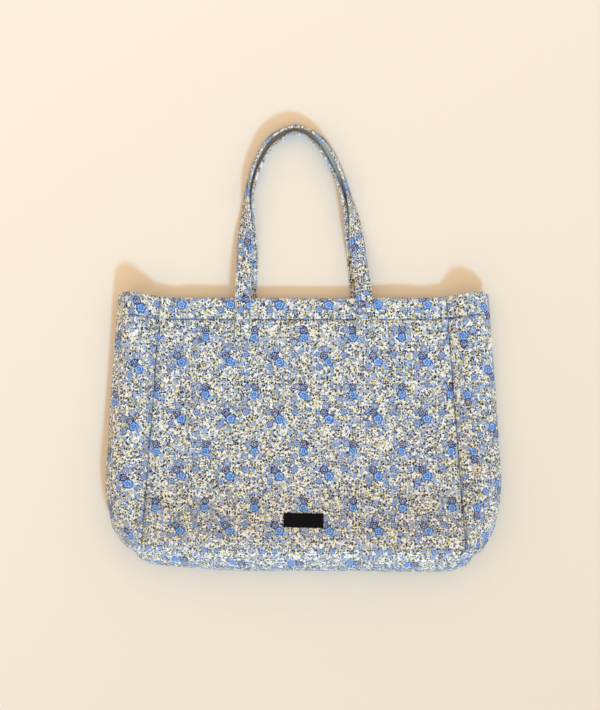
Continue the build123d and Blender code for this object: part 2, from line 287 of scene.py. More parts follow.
def scattered(tree, place, spacing, shift):
    """Spots about a spacing apart: the way from the nearest one's middle, and three chances of its own."""
    moved = vector_maths(tree, "ADD", place, (shift * 37.3, shift * 21.7, 0.0))
    cells = scaled(tree, moved, 1 / spacing)
    node = added(tree, "ShaderNodeTexVoronoi", voronoi_dimensions="2D")
    feed(tree, node, {"Vector": cells, "Scale": 1.0, "Randomness": 0.85})
    away = scaled(tree, vector_maths(tree, "SUBTRACT", cells, node.outputs["Position"]), spacing)
    return away, *added(tree, "ShaderNodeSeparateColor", node.outputs["Color"]).outputs


OFF_WHITE = paint(251, 249, 245)
CREAM_HEART = paint(240, 224, 150)
YELLOW_HEART = paint(226, 196, 82)
BRIGHT_BLUE = paint(54, 128, 206)
SKY_BLUE = paint(124, 164, 216)
SLATE_BLUE = paint(104, 134, 186)
NAVY = paint(30, 42, 104)
NEAR_BLACK = paint(30, 27, 44)
LAVENDER = paint(172, 182, 208)
GREY = paint(146, 146, 150)
OLIVE = paint(118, 110, 36)
MUSTARD = paint(204, 190, 80)
SAGE = paint(164, 164, 84)

PRINT_WIDE = 62.0                # the print comes round again after this much cloth
PRINT_HIGH = 72.0
SPRIGS = [
    # across, up, radius, petals, notch, turn, petals' colour, heart's colour
    (-12.0, 9.5, 4.6, 6, 0.20, 0.4, SLATE_BLUE, CREAM_HEART),
    (-14.5, 2.0, 3.4, 6, 0.22, 0.9, GREY, NEAR_BLACK),
    (-11.0, -6.5, 4.4, 7, 0.12, 0.2, SLATE_BLUE, SKY_BLUE),
    (0.5, 24.9, 5.1, 8, 0.12, 0.7, NAVY, LAVENDER),
    (-8.0, 25.6, 4.6, 6, 0.18, 1.1, SLATE_BLUE, CREAM_HEART),
    (0.0, 15.6, 5.9, 5, 0.20, 0.3, BRIGHT_BLUE, SKY_BLUE),
    (7.6, 11.4, 3.1, 5, 0.32, 1.5, SKY_BLUE, YELLOW_HEART),
    (-42.4, -21.6, 4.4, 7, 0.12, 0.5, SLATE_BLUE, SKY_BLUE),
    (-43.4, -6.0, 3.6, 5, 0.30, 0.1, BRIGHT_BLUE, YELLOW_HEART),
    (-36.0, -7.4, 5.2, 8, 0.12, 0.9, NAVY, LAVENDER),
    (-34.0, 1.0, 4.8, 6, 0.18, 0.6, SLATE_BLUE, CREAM_HEART),
    (-30.2, -15.4, 6.4, 5, 0.20, 1.0, BRIGHT_BLUE, SKY_BLUE),
    (-22.5, -19.0, 3.2, 5, 0.32, 0.2, SKY_BLUE, YELLOW_HEART),
]


def spots(tree, colour, place, spacing, shift, edge, share, colours):
    """Round spots over what is there: edge is where they fade out, and share how many places have one."""
    away, first, second, _ = scattered(tree, place, spacing, shift)
    spot = ranged(tree, vector_maths(tree, "LENGTH", away), *edge)
    spot = maths(tree, "MULTIPLY", spot, maths(tree, "LESS_THAN", first, share))
    return mixed(tree, spot, colour, palette(tree, second, colours))


def small_flowers(tree, colour, place, spacing, shift, radii, notch, share, colours, heart):
    """Five-petalled flowers of mixed sizes and colours, turned every way."""
    away, first, second, third = scattered(tree, place, spacing, shift)
    radius = ranged(tree, third, 0.0, 1.0, *radii)
    turn = maths(tree, "MULTIPLY", third, 40.0)
    here = maths(tree, "LESS_THAN", first, share)
    return flower(tree, colour, away, radius, 5.0, notch, turn, palette(tree, second, colours), heart, here)


PALE = (OFF_WHITE, LAVENDER, OFF_WHITE, SLATE_BLUE, OFF_WHITE, LAVENDER, OFF_WHITE)
BLUES = (SKY_BLUE, SLATE_BLUE, SKY_BLUE, BRIGHT_BLUE, SLATE_BLUE, NAVY)
PAINTED_SEAM_SHADE = (0.26, 0.26, 0.30, 1.0)            # painted shade: how far a seam's dip darkens the cloth's colour


def print_cloth_material():
    """Small blue flowers, leaves and dots printed close together on off-white cotton."""
    material, tree, shader = new_material("printed_cotton")
    place = cloth_place(tree)
    wander = cloudiness(tree, place, 0.35, 1.0)
    shaken = cloudiness(tree, place, 0.42, 1.0, "Color")
    pushed = scaled(tree, vector_maths(tree, "SUBTRACT", shaken, (0.5, 0.5, 0.5)), 4.2)
    place = vector_maths(tree, "ADD", place, vector_maths(tree, "MULTIPLY", pushed, (1.0, 1.0, 0.0)))
    colour = mixed(tree, ranged(tree, wander, 0.35, 0.65), OFF_WHITE, paint(226, 226, 226))

    dabs = (SAGE, MUSTARD, NEAR_BLACK, GREY, OLIVE, NEAR_BLACK, SAGE)
    colour = spots(tree, colour, place, 2.3, 1.0, (0.95, 0.75), 0.66, dabs)

    away, first, second, third = scattered(tree, place, 3.1, 2.0)
    turn = added(tree, "ShaderNodeVectorRotate", rotation_type="Z_AXIS")
    feed(tree, turn, {"Vector": away, "Angle": maths(tree, "MULTIPLY", first, 2 * math.pi)})
    leaf = vector_maths(tree, "LENGTH", vector_maths(tree, "MULTIPLY", turn.outputs[0], (0.6, 1.5, 0.0)))
    drawn = maths(tree, "MULTIPLY", ranged(tree, leaf, 1.08, 0.9), maths(tree, "LESS_THAN", third, 0.84))
    colour = mixed(tree, drawn, colour, palette(tree, second, (OLIVE, MUSTARD, SAGE, OLIVE, GREY, MUSTARD)))

    colour = small_flowers(tree, colour, place, 4.6, 3.0, (1.5, 2.2), 0.32, 0.82, PALE, MUSTARD)
    darks = (NEAR_BLACK, NAVY, NEAR_BLACK, NEAR_BLACK)
    colour = spots(tree, colour, place, 3.5, 4.0, (1.22, 1.06), 0.62, darks)
    colour = small_flowers(tree, colour, place, 7.6, 5.0, (2.2, 3.4), 0.30, 0.48, BLUES, CREAM_HEART)

    most = (PRINT_WIDE / 2, PRINT_HIGH / 2, 0.0)
    least = (-PRINT_WIDE / 2, -PRINT_HIGH / 2, 0.0)
    for across, up, radius, petals, notch, turned, petal, heart in SPRIGS:
        shifted = vector_maths(tree, "SUBTRACT", place, (across, up, 0.0))
        away = vector_maths(tree, "WRAP", shifted, most, least)
        colour = flower(tree, colour, away, radius, float(petals), notch, turned, petal, heart)

    cloudy = cloudiness(tree, place, 0.02, 3.0)
    faded = mixed(tree, ranged(tree, cloudy, 0.3, 0.7, 0.0, 0.03), colour, paint(214, 216, 214))
    # The cloth's wear above zero rubs it paler, and painted shade below zero darkens it
    wear_and_shade = added(tree, "ShaderNodeAttribute", attribute_name="wear_and_shade").outputs["Fac"]
    rubbed = mixed(tree, ranged(tree, wear_and_shade, 0.0, 1.0, 0.0, 0.2), faded, paint(232, 232, 226))
    # Below zero the attribute is painted shade, which darkens the cloth at its seams and over the base
    painted_shade_share = ranged(tree, wear_and_shade, 0.0, -1.0)
    crumple = cloudiness(tree, place, 0.16, 3.0)
    crumpled = maths(tree, "MULTIPLY", crumple, 0.55)
    height = maths(tree, "MULTIPLY_ADD", weave_height(tree, place, 0.7), 0.035, crumpled)
    bumped(tree, shader, height, 0.55, 1.0 * MM)
    feed(tree, shader, {
        "Base Color": mixed(tree, painted_shade_share, rubbed, PAINTED_SEAM_SHADE, "MULTIPLY"),
        "Roughness": ranged(tree, cloudiness(tree, place, 0.9), 0.2, 0.8, 0.78, 0.93),
        "Specular IOR Level": 0.25,
        "Sheen Weight": 0.12,
        "Sheen Roughness": 0.5,
    })
    return material


def lining_material():
    """Plain ecru cotton, a little creased."""
    material, tree, shader = new_material("lining_cotton")
    place = cloth_place(tree)
    cloudy = cloudiness(tree, place, 0.05, 4.0)
    colour = mixed(tree, ranged(tree, cloudy, 0.3, 0.7), paint(226, 220, 205), paint(212, 205, 188))
    slub = cloudiness(tree, vector_maths(tree, "MULTIPLY", place, (0.15, 3.0, 1.0)), 1.0)
    slubbed = mixed(tree, ranged(tree, slub, 0.4, 0.8, 0.0, 0.25), colour, paint(190, 182, 164))
    creased = maths(tree, "MULTIPLY", cloudy, 0.9)
    height = maths(tree, "MULTIPLY_ADD", weave_height(tree, place, 0.9), 0.05, creased)
    bumped(tree, shader, height, 0.5, 1.0 * MM)
    roughness = ranged(tree, slub, 0.2, 0.8, 0.8, 0.95)
    feed(tree, shader, {"Base Color": slubbed, "Roughness": roughness, "Specular IOR Level": 0.2})
    return material


PRINT_CLOTH = print_cloth_material()
CLOTHS = [PRINT_CLOTH, lining_material()]       # a wall's outside and inside

mouth_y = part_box("front_hem")[1].y / MM
ridge_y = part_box("front_panel")[0].y / MM
WALL = 3.2                       # face, wadding and lining together
HEM_DEPTH = 25.0
SEAM_GAP = 0.15                  # between two pieces that a seam joins
HEM_EXTRA = 1.0                  # how much thicker the wall is where its edge is turned in
FLOOR_CLEAR = 0.1                # the cloth's lowest face above the surface it lies on

# The lie of the bag's upper side, right half, by cross-sections from the mouth down. Each has its place down
# the bag and the panel's half width, then the panel's height at its middle, at two places between and at
# the seam, then the gusset's crown, shoulder and crease: out from the seam, up the bag, and height
UPPER_LIE = [
    (3.0, 179.5, (16.6, 17.2, 18.4, 21.0), (28.0, 6.5, 37.0), (44.5, 8.0, 31.5), (54.2, 6.0, 18.0)),
    (27.5, 181.3, (17.0, 17.6, 18.4, 20.2), (27.0, 5.0, 36.0), (44.5, 6.0, 30.5), (54.4, 4.5, 17.5)),
    (63.5, 184.1, (18.6, 18.8, 18.6, 19.6), (25.5, 1.0, 33.5), (43.5, 1.2, 28.5), (54.6, 1.0, 17.0)),
    (123.0, 188.5, (21.4, 20.8, 19.8, 20.0), (25.3, 0.0, 31.5), (43.6, 0.0, 26.8), (54.8, 0.0, 16.0)),
    (183.5, 192.9, (26.6, 26.0, 24.8, 25.4), (27.0, 0.0, 37.5), (44.0, 0.0, 31.5), (54.0, 0.0, 19.0)),
    (243.5, 197.3, (35.6, 35.4, 34.6, 34.2), (27.5, 0.0, 45.5), (43.0, 0.0, 37.5), (52.0, 0.0, 22.0)),
    (278.5, 199.9, (49.6, 49.6, 49.2, 47.6), (22.5, 0.0, 51.5), (36.0, 0.0, 42.5), (43.6, 0.0, 25.0)),
    (303.5, 201.7, (61.6, 61.6, 61.0, 57.8), (15.6, 0.0, 56.4), (25.6, 0.0, 47.0), (32.4, 0.0, 27.5)),
    (314.5, 202.5, (65.0, 65.0, 64.4, 60.6), (12.0, 0.4, 56.6), (19.8, 0.6, 47.6), (25.5, 1.0, 28.5)),
]
PANEL_QUARTERS = (0.0, 0.35, 0.7, 1.0)


def lie_row(row):
    """One cross-section's right half as points, from the middle out to the crease."""
    down, half, heights, *gusset = row
    y = mouth_y - down
    seam_up = 0.25 * gusset[0][1]
    points = [(half * share, y + seam_up * share ** 3, z) for share, z in zip(PANEL_QUARTERS, heights)]
    return points + [(half + out, y + up, z) for out, up, z in gusset]


def both_sides(right):
    """A right half's rows with the left half's mirrored beside them."""
    right = np.array(right, float)
    left = right[:, :0:-1] * (-1, 1, 1)
    return np.concatenate([left, right], axis=1)


def run_length(points):
    """How far along a line of points each of them is."""
    return np.concatenate([[0.0], np.cumsum(np.linalg.norm(np.diff(points, axis=0), axis=1))])


def through(knots, values, wanted):
    """A smooth line through the values at the knots, read at the wanted places."""
    slopes = np.gradient(values, knots, axis=0)
    index = np.clip(np.searchsorted(knots, wanted, side="right") - 1, 0, len(knots) - 2)
    shape = (-1,) + (1,) * (values.ndim - 1)
    step = (knots[index + 1] - knots[index]).reshape(shape)
    s = ((wanted - knots[index]) / (knots[index + 1] - knots[index])).reshape(shape)
    low, high = values[index], values[index + 1]
    return (
        (2 * s**3 - 3 * s**2 + 1) * low + (s**3 - 2 * s**2 + s) * step * slopes[index]
        + (3 * s**2 - 2 * s**3) * high + (s**3 - s**2) * step * slopes[index + 1]
    )


upper_net = both_sides([lie_row(row) for row in UPPER_LIE])
MIDDLE = upper_net.shape[1] // 2
WAIST_ROW = 3
down_knots = run_length(upper_net[:, MIDDLE])
panel_length = down_knots[-1]
half_knots = run_length(upper_net[WAIST_ROW, MIDDLE:])
across_knots = np.concatenate([-half_knots[:0:-1], half_knots])
seam_across = half_knots[3]
crease_across = half_knots[6]


def smooth_step(value, low, high):
    share = np.clip((value - low) / (high - low), 0.0, 1.0)
    return share * share * (3 - 2 * share)


def bell(distance, width):
    """A soft bump: 1 at no distance, and gone within about twice the width."""
    return np.exp(-(distance / width) ** 2)


def rough(points, size, seed):
    """Soft unevenness of about a given size over the cloth, from -1 to 1."""
    return np.array([noise.noise((p[0] / size, p[1] / size, seed)) for p in points.reshape(-1, 2)]).reshape(
        points.shape[:-1]
    )


def normals_of(grid):
    """The way each point of a grid faces."""
    along = np.gradient(grid, axis=0)
    side = np.gradient(grid, axis=1)
    facing = np.cross(along, side)
    return facing / np.maximum(np.linalg.norm(facing, axis=2, keepdims=True), 1e-9)


SEAM_DEPTH = 3.0                 # how far the cloth dips into a side seam
SEAM_REACH = 3.4
HEM_DIP = 1.9                    # how far the hem's sewing pulls the cloth in
HEM_REACH = 1.5
PUCKER = 0.6
PANEL_CREASES = ((-111.0, 0.7), (21.0, 0.6), (107.0, 0.7))


def hem_dip(across, down, seed):
    """The sewn line of the hem, with the small puckers that run out from it."""
    flat = np.stack([across, down], axis=-1)
    uneven = rough(flat * (1.0, 0.15), 4.6, seed)
    wide = rough(flat * (1.0, 0.1), 9.0, seed + 3.0)
    near = bell(down - HEM_DEPTH, HEM_REACH)
    about = np.exp(-np.abs(down - HEM_DEPTH) / 7.0)
    return near * (HEM_DIP + 0.9 * uneven) + about * PUCKER * (uneven + wide)


def swell(across, down):
    """The slow rise and fall of the padded cloth as it lies."""
    flat = np.stack([across, down], axis=-1)
    slow = 1.7 * rough(flat, 85.0, 4.1) + 0.9 * rough(flat, 38.0, 9.7)
    small = 0.35 * rough(flat, 15.0, 2.3) + 0.12 * rough(flat, 6.0, 7.9)
    away = smooth_step(down, 0.0, 60.0) * 0.65 + 0.35
    return slow * away + small


def settled(grid):
    """The bag's lower corners are round, and the left one slumps a little up the bag as it lies."""
    slump = 6.0 * smooth_step(-grid[..., 0], 70.0, 200.0) * smooth_step(-grid[..., 1], 215.0, 268.0)
    slump += 7.0 * smooth_step(np.abs(grid[..., 0]), 180.0, 212.0) * smooth_step(-grid[..., 1], 255.0, 272.0)
    slump -= 2.0 * smooth_step(grid[..., 0], 60.0, 140.0) * smooth_step(-grid[..., 1], 230.0, 270.0)
    return grid + np.stack([0 * slump, slump, 0 * slump], axis=-1)


def on_net(net, down_places, across_places, down, across):
    """The smooth surface through a net of cross-sections, at places down and across it."""
    rows = through(down_places, net, down)
    return settled(np.moveaxis(through(across_places, np.moveaxis(rows, 1, 0), across), 0, 1))


def upper_side(across, down):
    """The bag's upper side as it lies, at places across and down the cloth, with its seams and swells."""
    grid = on_net(upper_net, down_knots, across_knots, down, across)
    spread, length = np.meshgrid(across, down)
    near_mouth = 1 - smooth_step(length, 0.0, 110.0)
    bulge = bell(np.abs(spread) - seam_across - 30.0, 24.0)
    grid[..., 2] += near_mouth * bulge * np.where(spread < 0, 3.0, -3.2)
    out_from_seam = np.abs(spread) - seam_across
    lift = swell(spread, length)
    lift -= SEAM_DEPTH * bell(out_from_seam, SEAM_REACH) * (1 - 0.35 * near_mouth)
    lift -= hem_dip(spread, length, 1.0)
    lift -= 1.1 * bell(length - panel_length, 3.2)
    fold = rough(np.stack([spread * 0.45, length], axis=-1), 26.0, 15.0)
    lift += 2.2 * fold * smooth_step(out_from_seam, 4.0, 20.0) * (1 - smooth_step(out_from_seam, 34.0, 60.0))
    for place, depth in PANEL_CREASES:
        drift = 2.5 * rough(np.stack([0 * length, length], axis=-1), 60.0, place)
        line = bell(spread - place - drift, 3.0)
        lift -= depth * line * smooth_step(length, 30.0, 70.0)
    quiet = 1 - smooth_step(np.abs(spread), crease_across - 10.0, crease_across)
    seam_end = 1 - smooth_step(length, panel_length - 14.0, panel_length)
    calm = np.where(lift > 0, seam_end, 1.0)
    return grid + normals_of(grid) * (lift * quiet * calm)[..., None]


MOUTH_ARC = 5                    # steps round a turned edge
SHARP_EDGE = math.radians(55)    # a wall's corners steeper than this stay crisp


def dress(mesh, flat, wear_and_shade):
    """Give a mesh its place on the flat cloth, its wear and its painted shade, and smooth it."""
    corners = np.zeros(len(mesh.loops), np.int32)
    mesh.loops.foreach_get("vertex_index", corners)
    mesh.uv_layers.new(name="cloth").data.foreach_set("uv", flat[corners].ravel())
    mesh.attributes.new("wear_and_shade", "FLOAT", "POINT").data.foreach_set("value", wear_and_shade.ravel().astype(np.float32))
    mesh.shade_smooth()


def wall_mesh(name, outer, wall, cloth, materials, lined_from, wear_and_shade, turned=True):
    """A padded wall as one closed mesh: its outer face, its edge, and its inner face back again. The grid's
    first row is the turned edge at the mouth, and wall is the thickness at each point."""
    facing = normals_of(outer)
    inner = outer - facing * wall[..., None]
    rows, columns = outer.shape[:2]
    edge_rows = []
    if turned:
        out_of_mouth = outer[0] - outer[1]
        out_of_mouth /= np.linalg.norm(out_of_mouth, axis=1, keepdims=True)
        half = wall[0][:, None] / 2
        for step in range(1, MOUTH_ARC):
            angle = math.pi * step / MOUTH_ARC
            edge_rows.append(
                outer[0] - facing[0] * half * (1 - math.cos(angle)) + out_of_mouth * half * math.sin(angle)
            )
    sheet = np.concatenate([outer[::-1], np.array(edge_rows).reshape(-1, columns, 3), inner])
    count = len(sheet)
    index = np.arange(count * columns).reshape(count, columns)
    quads = np.stack([index[:-1, :-1], index[:-1, 1:], index[1:, 1:], index[1:, :-1]], axis=-1)
    faces = quads.reshape(-1, 4).tolist()
    row_of_face = np.repeat(np.arange(count - 1), columns - 1).tolist()
    for column, forwards in ((0, True), (columns - 1, False)):
        for row in range(rows - 1):
            around = (row, row + 1, count - 2 - row, count - 1 - row)
            corner = [index[place, column] for place in around]
            faces.append(corner if forwards else corner[::-1])
            row_of_face.append(row)
        lip = [index[row, column] for row in range(rows - 1, count - rows + 1)]
        if len(lip) > 2:
            faces.append(lip if forwards else lip[::-1])
            row_of_face.append(rows)
    for column in range(columns - 1):
        around = ((0, column + 1), (0, column), (count - 1, column), (count - 1, column + 1))
        faces.append([index[place] for place in around])
        row_of_face.append(0)
    faces = [[int(corner) for corner in face] for face in faces]

    mesh = bpy.data.meshes.new(name)
    mesh.from_pydata((sheet.reshape(-1, 3) * MM).tolist(), [], faces)
    for material in materials:
        mesh.materials.append(material)
    inside = [int(row >= count - rows + lined_from) for row in row_of_face]
    mesh.polygons.foreach_set("material_index", inside)

    turn = np.linspace(0, wall[0].mean() * 1.5, len(edge_rows) + 2)[1:-1]
    over = cloth[:1] + np.stack([0 * turn, turn], axis=-1)[:, None]
    back = cloth.copy()
    back[..., 1] = 2 * cloth[:1, :, 1] - cloth[..., 1] + wall[0].mean() * 1.5
    flat = np.concatenate([cloth[::-1], over.reshape(-1, columns, 2), back]).reshape(-1, 2) * MM
    dress(mesh, flat, np.concatenate([wear_and_shade[::-1], np.tile(wear_and_shade[:1], (len(edge_rows), 1)), wear_and_shade]))
    mesh.set_sharp_from_angle(angle=SHARP_EDGE)
    mesh.update()
    return put(name, mesh)


def down_steps(coarse, fine):
    """Places down the cloth, close together at the mouth's edge, round the hem's sewing and at the base."""
    base_end = panel_length - 12.0
    ends = (0.0, 6.0, 17.0, 33.0, base_end, panel_length)
    stretches = zip(ends, ends[1:], (fine, coarse, fine, coarse, fine))
    steps = [
        np.linspace(start, end, max(int(round((end - start) / size)), 1), endpoint=False)
        for start, end, size in stretches
    ]
    return np.concatenate(steps + [[panel_length]])


down = down_steps(2.6, 1.1)
panel_across = np.linspace(-seam_across + SEAM_GAP, seam_across - SEAM_GAP, 217)
front_grid = upper_side(panel_across, down)


def painted_seam_shade(across, down):
    """Painted shade where the cloth is drawn down to a seam or to the hem's sewing, from 0 to 1."""
    spread, length = np.meshgrid(across, down)
    flat = np.stack([spread, length], axis=-1)
    sewing = bell(length - HEM_DEPTH - 0.3, 0.9) * (0.62 + 1.3 * rough(flat * (1.0, 0.1), 9.0, 41.0))
    seam = bell(np.abs(spread) - seam_across, 1.1) * (0.42 + 0.9 * rough(flat * (0.1, 1.0), 13.0, 43.0))
    base_seam = 0.55 * bell(length - panel_length, 1.2)
    return np.clip(np.maximum(np.maximum(sewing, seam), base_seam), 0.0, 1.0) * 1.15


def wall_down(down):
    """The wall's thickness down the bag, as a column: the hem is thicker by its turned-in cloth."""
    return (WALL + HEM_EXTRA * (1 - smooth_step(down, HEM_DEPTH - 2.0, HEM_DEPTH + 2.0)))[:, None]


def up_the_bag(down, columns):
    return np.tile((mouth_y - down)[:, None], (1, columns))


front_wall = np.tile(wall_down(down), (1, len(panel_across)))
grain = np.stack([front_grid[..., 0], up_the_bag(down, len(panel_across))], axis=-1)
hem_row = int(np.searchsorted(down, HEM_DEPTH))
spread, length = np.meshgrid(panel_across, down)
mouth_wear = np.exp(-length / 3.0)
side_wear = np.exp(-(seam_across - np.abs(spread)) / 3.0)
ridge_wear = 0.7 * np.exp(-(panel_length - length) / 8.0)
front_wear_and_shade = np.clip(mouth_wear + 0.5 * side_wear + ridge_wear, 0, 1) * (0.6 + 0.4 * rough(grain, 9.0, 3.0))
# Painted shade along the seams and the hem's sewing, taken off the wear
front_wear_and_shade -= painted_seam_shade(panel_across, down)

front_panel = wall_mesh("front_panel_cloth", front_grid, front_wall, grain, CLOTHS, hem_row, front_wear_and_shade)
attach(front_panel, "front_wall")
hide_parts("front_panel", "front_wadding", "front_lining", "front_hem")


# ------------------------------------------------------------
# Side gussets, upper halves
# The same padded cloth, one band that runs down both sides and under the base. Each side is folded
# outwards along a soft crease. The upper half swells over a crown between the front seam and the crease.
# ------------------------------------------------------------
GUSSET_COLUMNS = 34
THIN_EDGE = 0.8
SLIM_REACH = 14.0                # a gusset half thins down to its crease over this much cloth


def gusset_cloth(side, out, down):
    """Where a gusset half lies on its flat band. Each side's band is cut from another part of the print."""
    aside = np.tile(-out, (len(down), 1))
    if side > 0:
        return np.stack([aside + 20.0, -up_the_bag(down, len(out)) + 31.0], axis=-1)
    return np.stack([aside - 7.0, up_the_bag(down, len(out)) + 9.0], axis=-1)


def fix_gusset(half, side, name, own):
    """Bake a gusset half's placing into its mesh, and hide the parts of model.glb that it stands for."""
    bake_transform(half)
    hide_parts(*[f"{name}_{layer}_{own}" for layer in ("gusset", "gusset_wadding", "gusset_lining")])
    if side < 0:
        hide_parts(own + "_gusset_hems")


gusset_run = np.linspace(seam_across + SEAM_GAP, crease_across, GUSSET_COLUMNS)
gusset_wide = crease_across - seam_across
for side, name in ((-1, "left"), (1, "right")):
    across = gusset_run if side > 0 else -gusset_run[::-1]
    grid = upper_side(across, down)
    out = np.abs(across) - seam_across
    slim = 1 - (1 - THIN_EDGE / WALL) * smooth_step(out, gusset_wide - SLIM_REACH, gusset_wide)
    wall = wall_down(down) * slim[None, :]
    cloth = gusset_cloth(side, out, down)
    wear_and_shade = np.exp(-(gusset_wide - out) / 4.0)[None, :] + np.exp(-down / 3.0)[:, None]
    # Painted shade along the gusset's seams and hem sewing, taken off its wear
    wear_and_shade = np.clip(wear_and_shade, 0, 1) * (0.6 + 0.4 * rough(cloth, 9.0, 5.0)) - painted_seam_shade(across, down)
    half = wall_mesh(name + "_gusset_upper_cloth", grid, wall, cloth, CLOTHS, hem_row, wear_and_shade)
    fix_gusset(half, side, name, "front")


# ------------------------------------------------------------
# Back panel
# Made like the front panel. It lies flat on the surface, but near the mouth it rests on the sewn ends of
# its own straps.
# ------------------------------------------------------------
LOWER_LIE = [
    (3.0, 179.5, (4.4, 4.4, 4.4, 4.2), (26.0, 5.5, 0.9), (46.5, 7.0, 5.0), (54.2, 6.0, 18.0)),
    (27.5, 181.3, (4.4, 4.4, 4.4, 4.2), (26.0, 4.0, 0.7), (46.5, 5.0, 4.6), (54.4, 4.5, 17.5)),
    (54.0, 183.4, (4.4, 4.4, 4.4, 3.6), (27.0, 1.2, 0.4), (47.0, 1.5, 4.2), (54.6, 1.2, 17.0)),
    (78.0, 185.2, (0.4, 0.4, 0.4, 0.4), (27.5, 0.4, 0.3), (47.2, 0.4, 4.1), (54.7, 0.4, 16.8)),
    (123.0, 188.5, (0.1, 0.1, 0.1, 0.3), (28.0, 0.0, 0.2), (47.5, 0.0, 4.0), (54.8, 0.0, 16.0)),
    (183.5, 192.9, (0.1, 0.1, 0.1, 0.3), (28.0, 0.0, 0.2), (46.5, 0.0, 5.0), (54.0, 0.0, 19.0)),
    (243.5, 197.3, (0.1, 0.1, 0.1, 0.3), (26.0, 0.0, 0.3), (44.0, 0.0, 6.5), (52.0, 0.0, 22.0)),
    (278.5, 199.9, (0.1, 0.1, 0.1, 0.3), (19.0, 0.0, 0.8), (35.5, 0.0, 8.5), (43.6, 0.0, 25.0)),
    (303.5, 201.7, (0.1, 0.1, 0.1, 0.3), (12.0, 0.0, 2.0), (25.0, 0.0, 11.0), (32.4, 0.0, 27.5)),
    (309.0, 202.2, (0.1, 0.1, 0.1, 0.4), (10.5, 0.2, 2.4), (21.6, -1.0, 11.5), (25.5, -4.5, 28.5)),
]
lower_net = both_sides([lie_row(row) for row in LOWER_LIE])
lower_knots = run_length(lower_net[:, MIDDLE])
back_length = lower_knots[-1]
lower_half = run_length(lower_net[WAIST_ROW, MIDDLE:])
lower_across = np.concatenate([-lower_half[:0:-1], lower_half])
back_seam = lower_half[3]
lower_crease = lower_half[6]


def lower_side(across, down):
    """The bag's under side as it lies, with its seams and its hem."""
    grid = on_net(lower_net, lower_knots, lower_across, down, across)
    grid[..., 2] = np.maximum(grid[..., 2], FLOOR_CLEAR)
    spread, length = np.meshgrid(across, down)
    rise = 1.6 * bell(np.abs(spread) - back_seam, SEAM_REACH)
    rise += np.maximum(hem_dip(spread, length, 6.0), 0.0) * 0.7
    rise += 0.5 * np.abs(rough(np.stack([spread, length], axis=-1), 60.0, 21.0))
    quiet = 1 - smooth_step(np.abs(spread), lower_crease - 12.0, lower_crease)
    grid[..., 2] += rise * quiet
    return grid


back_down = np.concatenate([down[down < back_length - 1.0], [back_length]])
back_columns = np.linspace(back_seam - SEAM_GAP, -back_seam + SEAM_GAP, 121)
back_grid = lower_side(back_columns, back_down)
back_wall = np.tile(wall_down(back_down), (1, len(back_columns)))
back_cloth = np.stack([-back_grid[..., 0], up_the_bag(back_down, len(back_columns))], axis=-1)
back_worn = np.tile(np.exp(-back_down / 3.0)[:, None], (1, len(back_columns)))
back_panel = wall_mesh("back_panel_cloth", back_grid, back_wall, back_cloth, CLOTHS, hem_row, back_worn)
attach(back_panel, "back_wall")
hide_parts("back_panel", "back_wadding", "back_lining", "back_hem")


# ------------------------------------------------------------
# Side gussets, lower halves
# The rest of each side's band, from the crease back under to the back panel's seam. A narrow tongue of it
# runs up behind the upper half, so that the fold stays closed when the mouth opens.
# ------------------------------------------------------------
TONGUE_COLUMNS = 3
TONGUE_STEP = 3.2
TONGUE_BEHIND = 3.9              # from the upper half's face to the tongue's
TONGUE_WALL = 0.7
lower_run = np.linspace(back_seam + SEAM_GAP, lower_crease, GUSSET_COLUMNS)
for side, name in ((-1, "left"), (1, "right")):
    shell = lower_side(side * lower_run[::-1], back_down)
    near_crease = crease_across - 1.5 - TONGUE_STEP * np.arange(TONGUE_COLUMNS, 0, -1)
    behind = upper_side(side * near_crease, back_down * (panel_length / back_length))
    faces_up = normals_of(behind) * side
    behind = behind - faces_up * TONGUE_BEHIND
    grid = np.concatenate([behind, shell], axis=1)
    to_crease = lower_crease - lower_run[::-1]
    out = np.concatenate([2 * crease_across - near_crease, crease_across + to_crease]) - seam_across
    slim = 1 - (1 - THIN_EDGE / WALL) * (1 - smooth_step(to_crease, 0.0, SLIM_REACH))
    slim = np.concatenate([np.full(TONGUE_COLUMNS, TONGUE_WALL / WALL), slim])
    wall = wall_down(back_down) * slim[None, :]
    cloth = gusset_cloth(side, out, back_down)
    wear_and_shade = np.tile(np.exp(-back_down / 3.0)[:, None], (1, grid.shape[1]))
    if side < 0:
        grid, wall, cloth, wear_and_shade = [values[:, ::-1] for values in (grid, wall, cloth, wear_and_shade)]
    half = wall_mesh(name + "_gusset_lower_cloth", grid, wall, cloth, CLOTHS, hem_row, wear_and_shade)
    fix_gusset(half, side, name, "back")


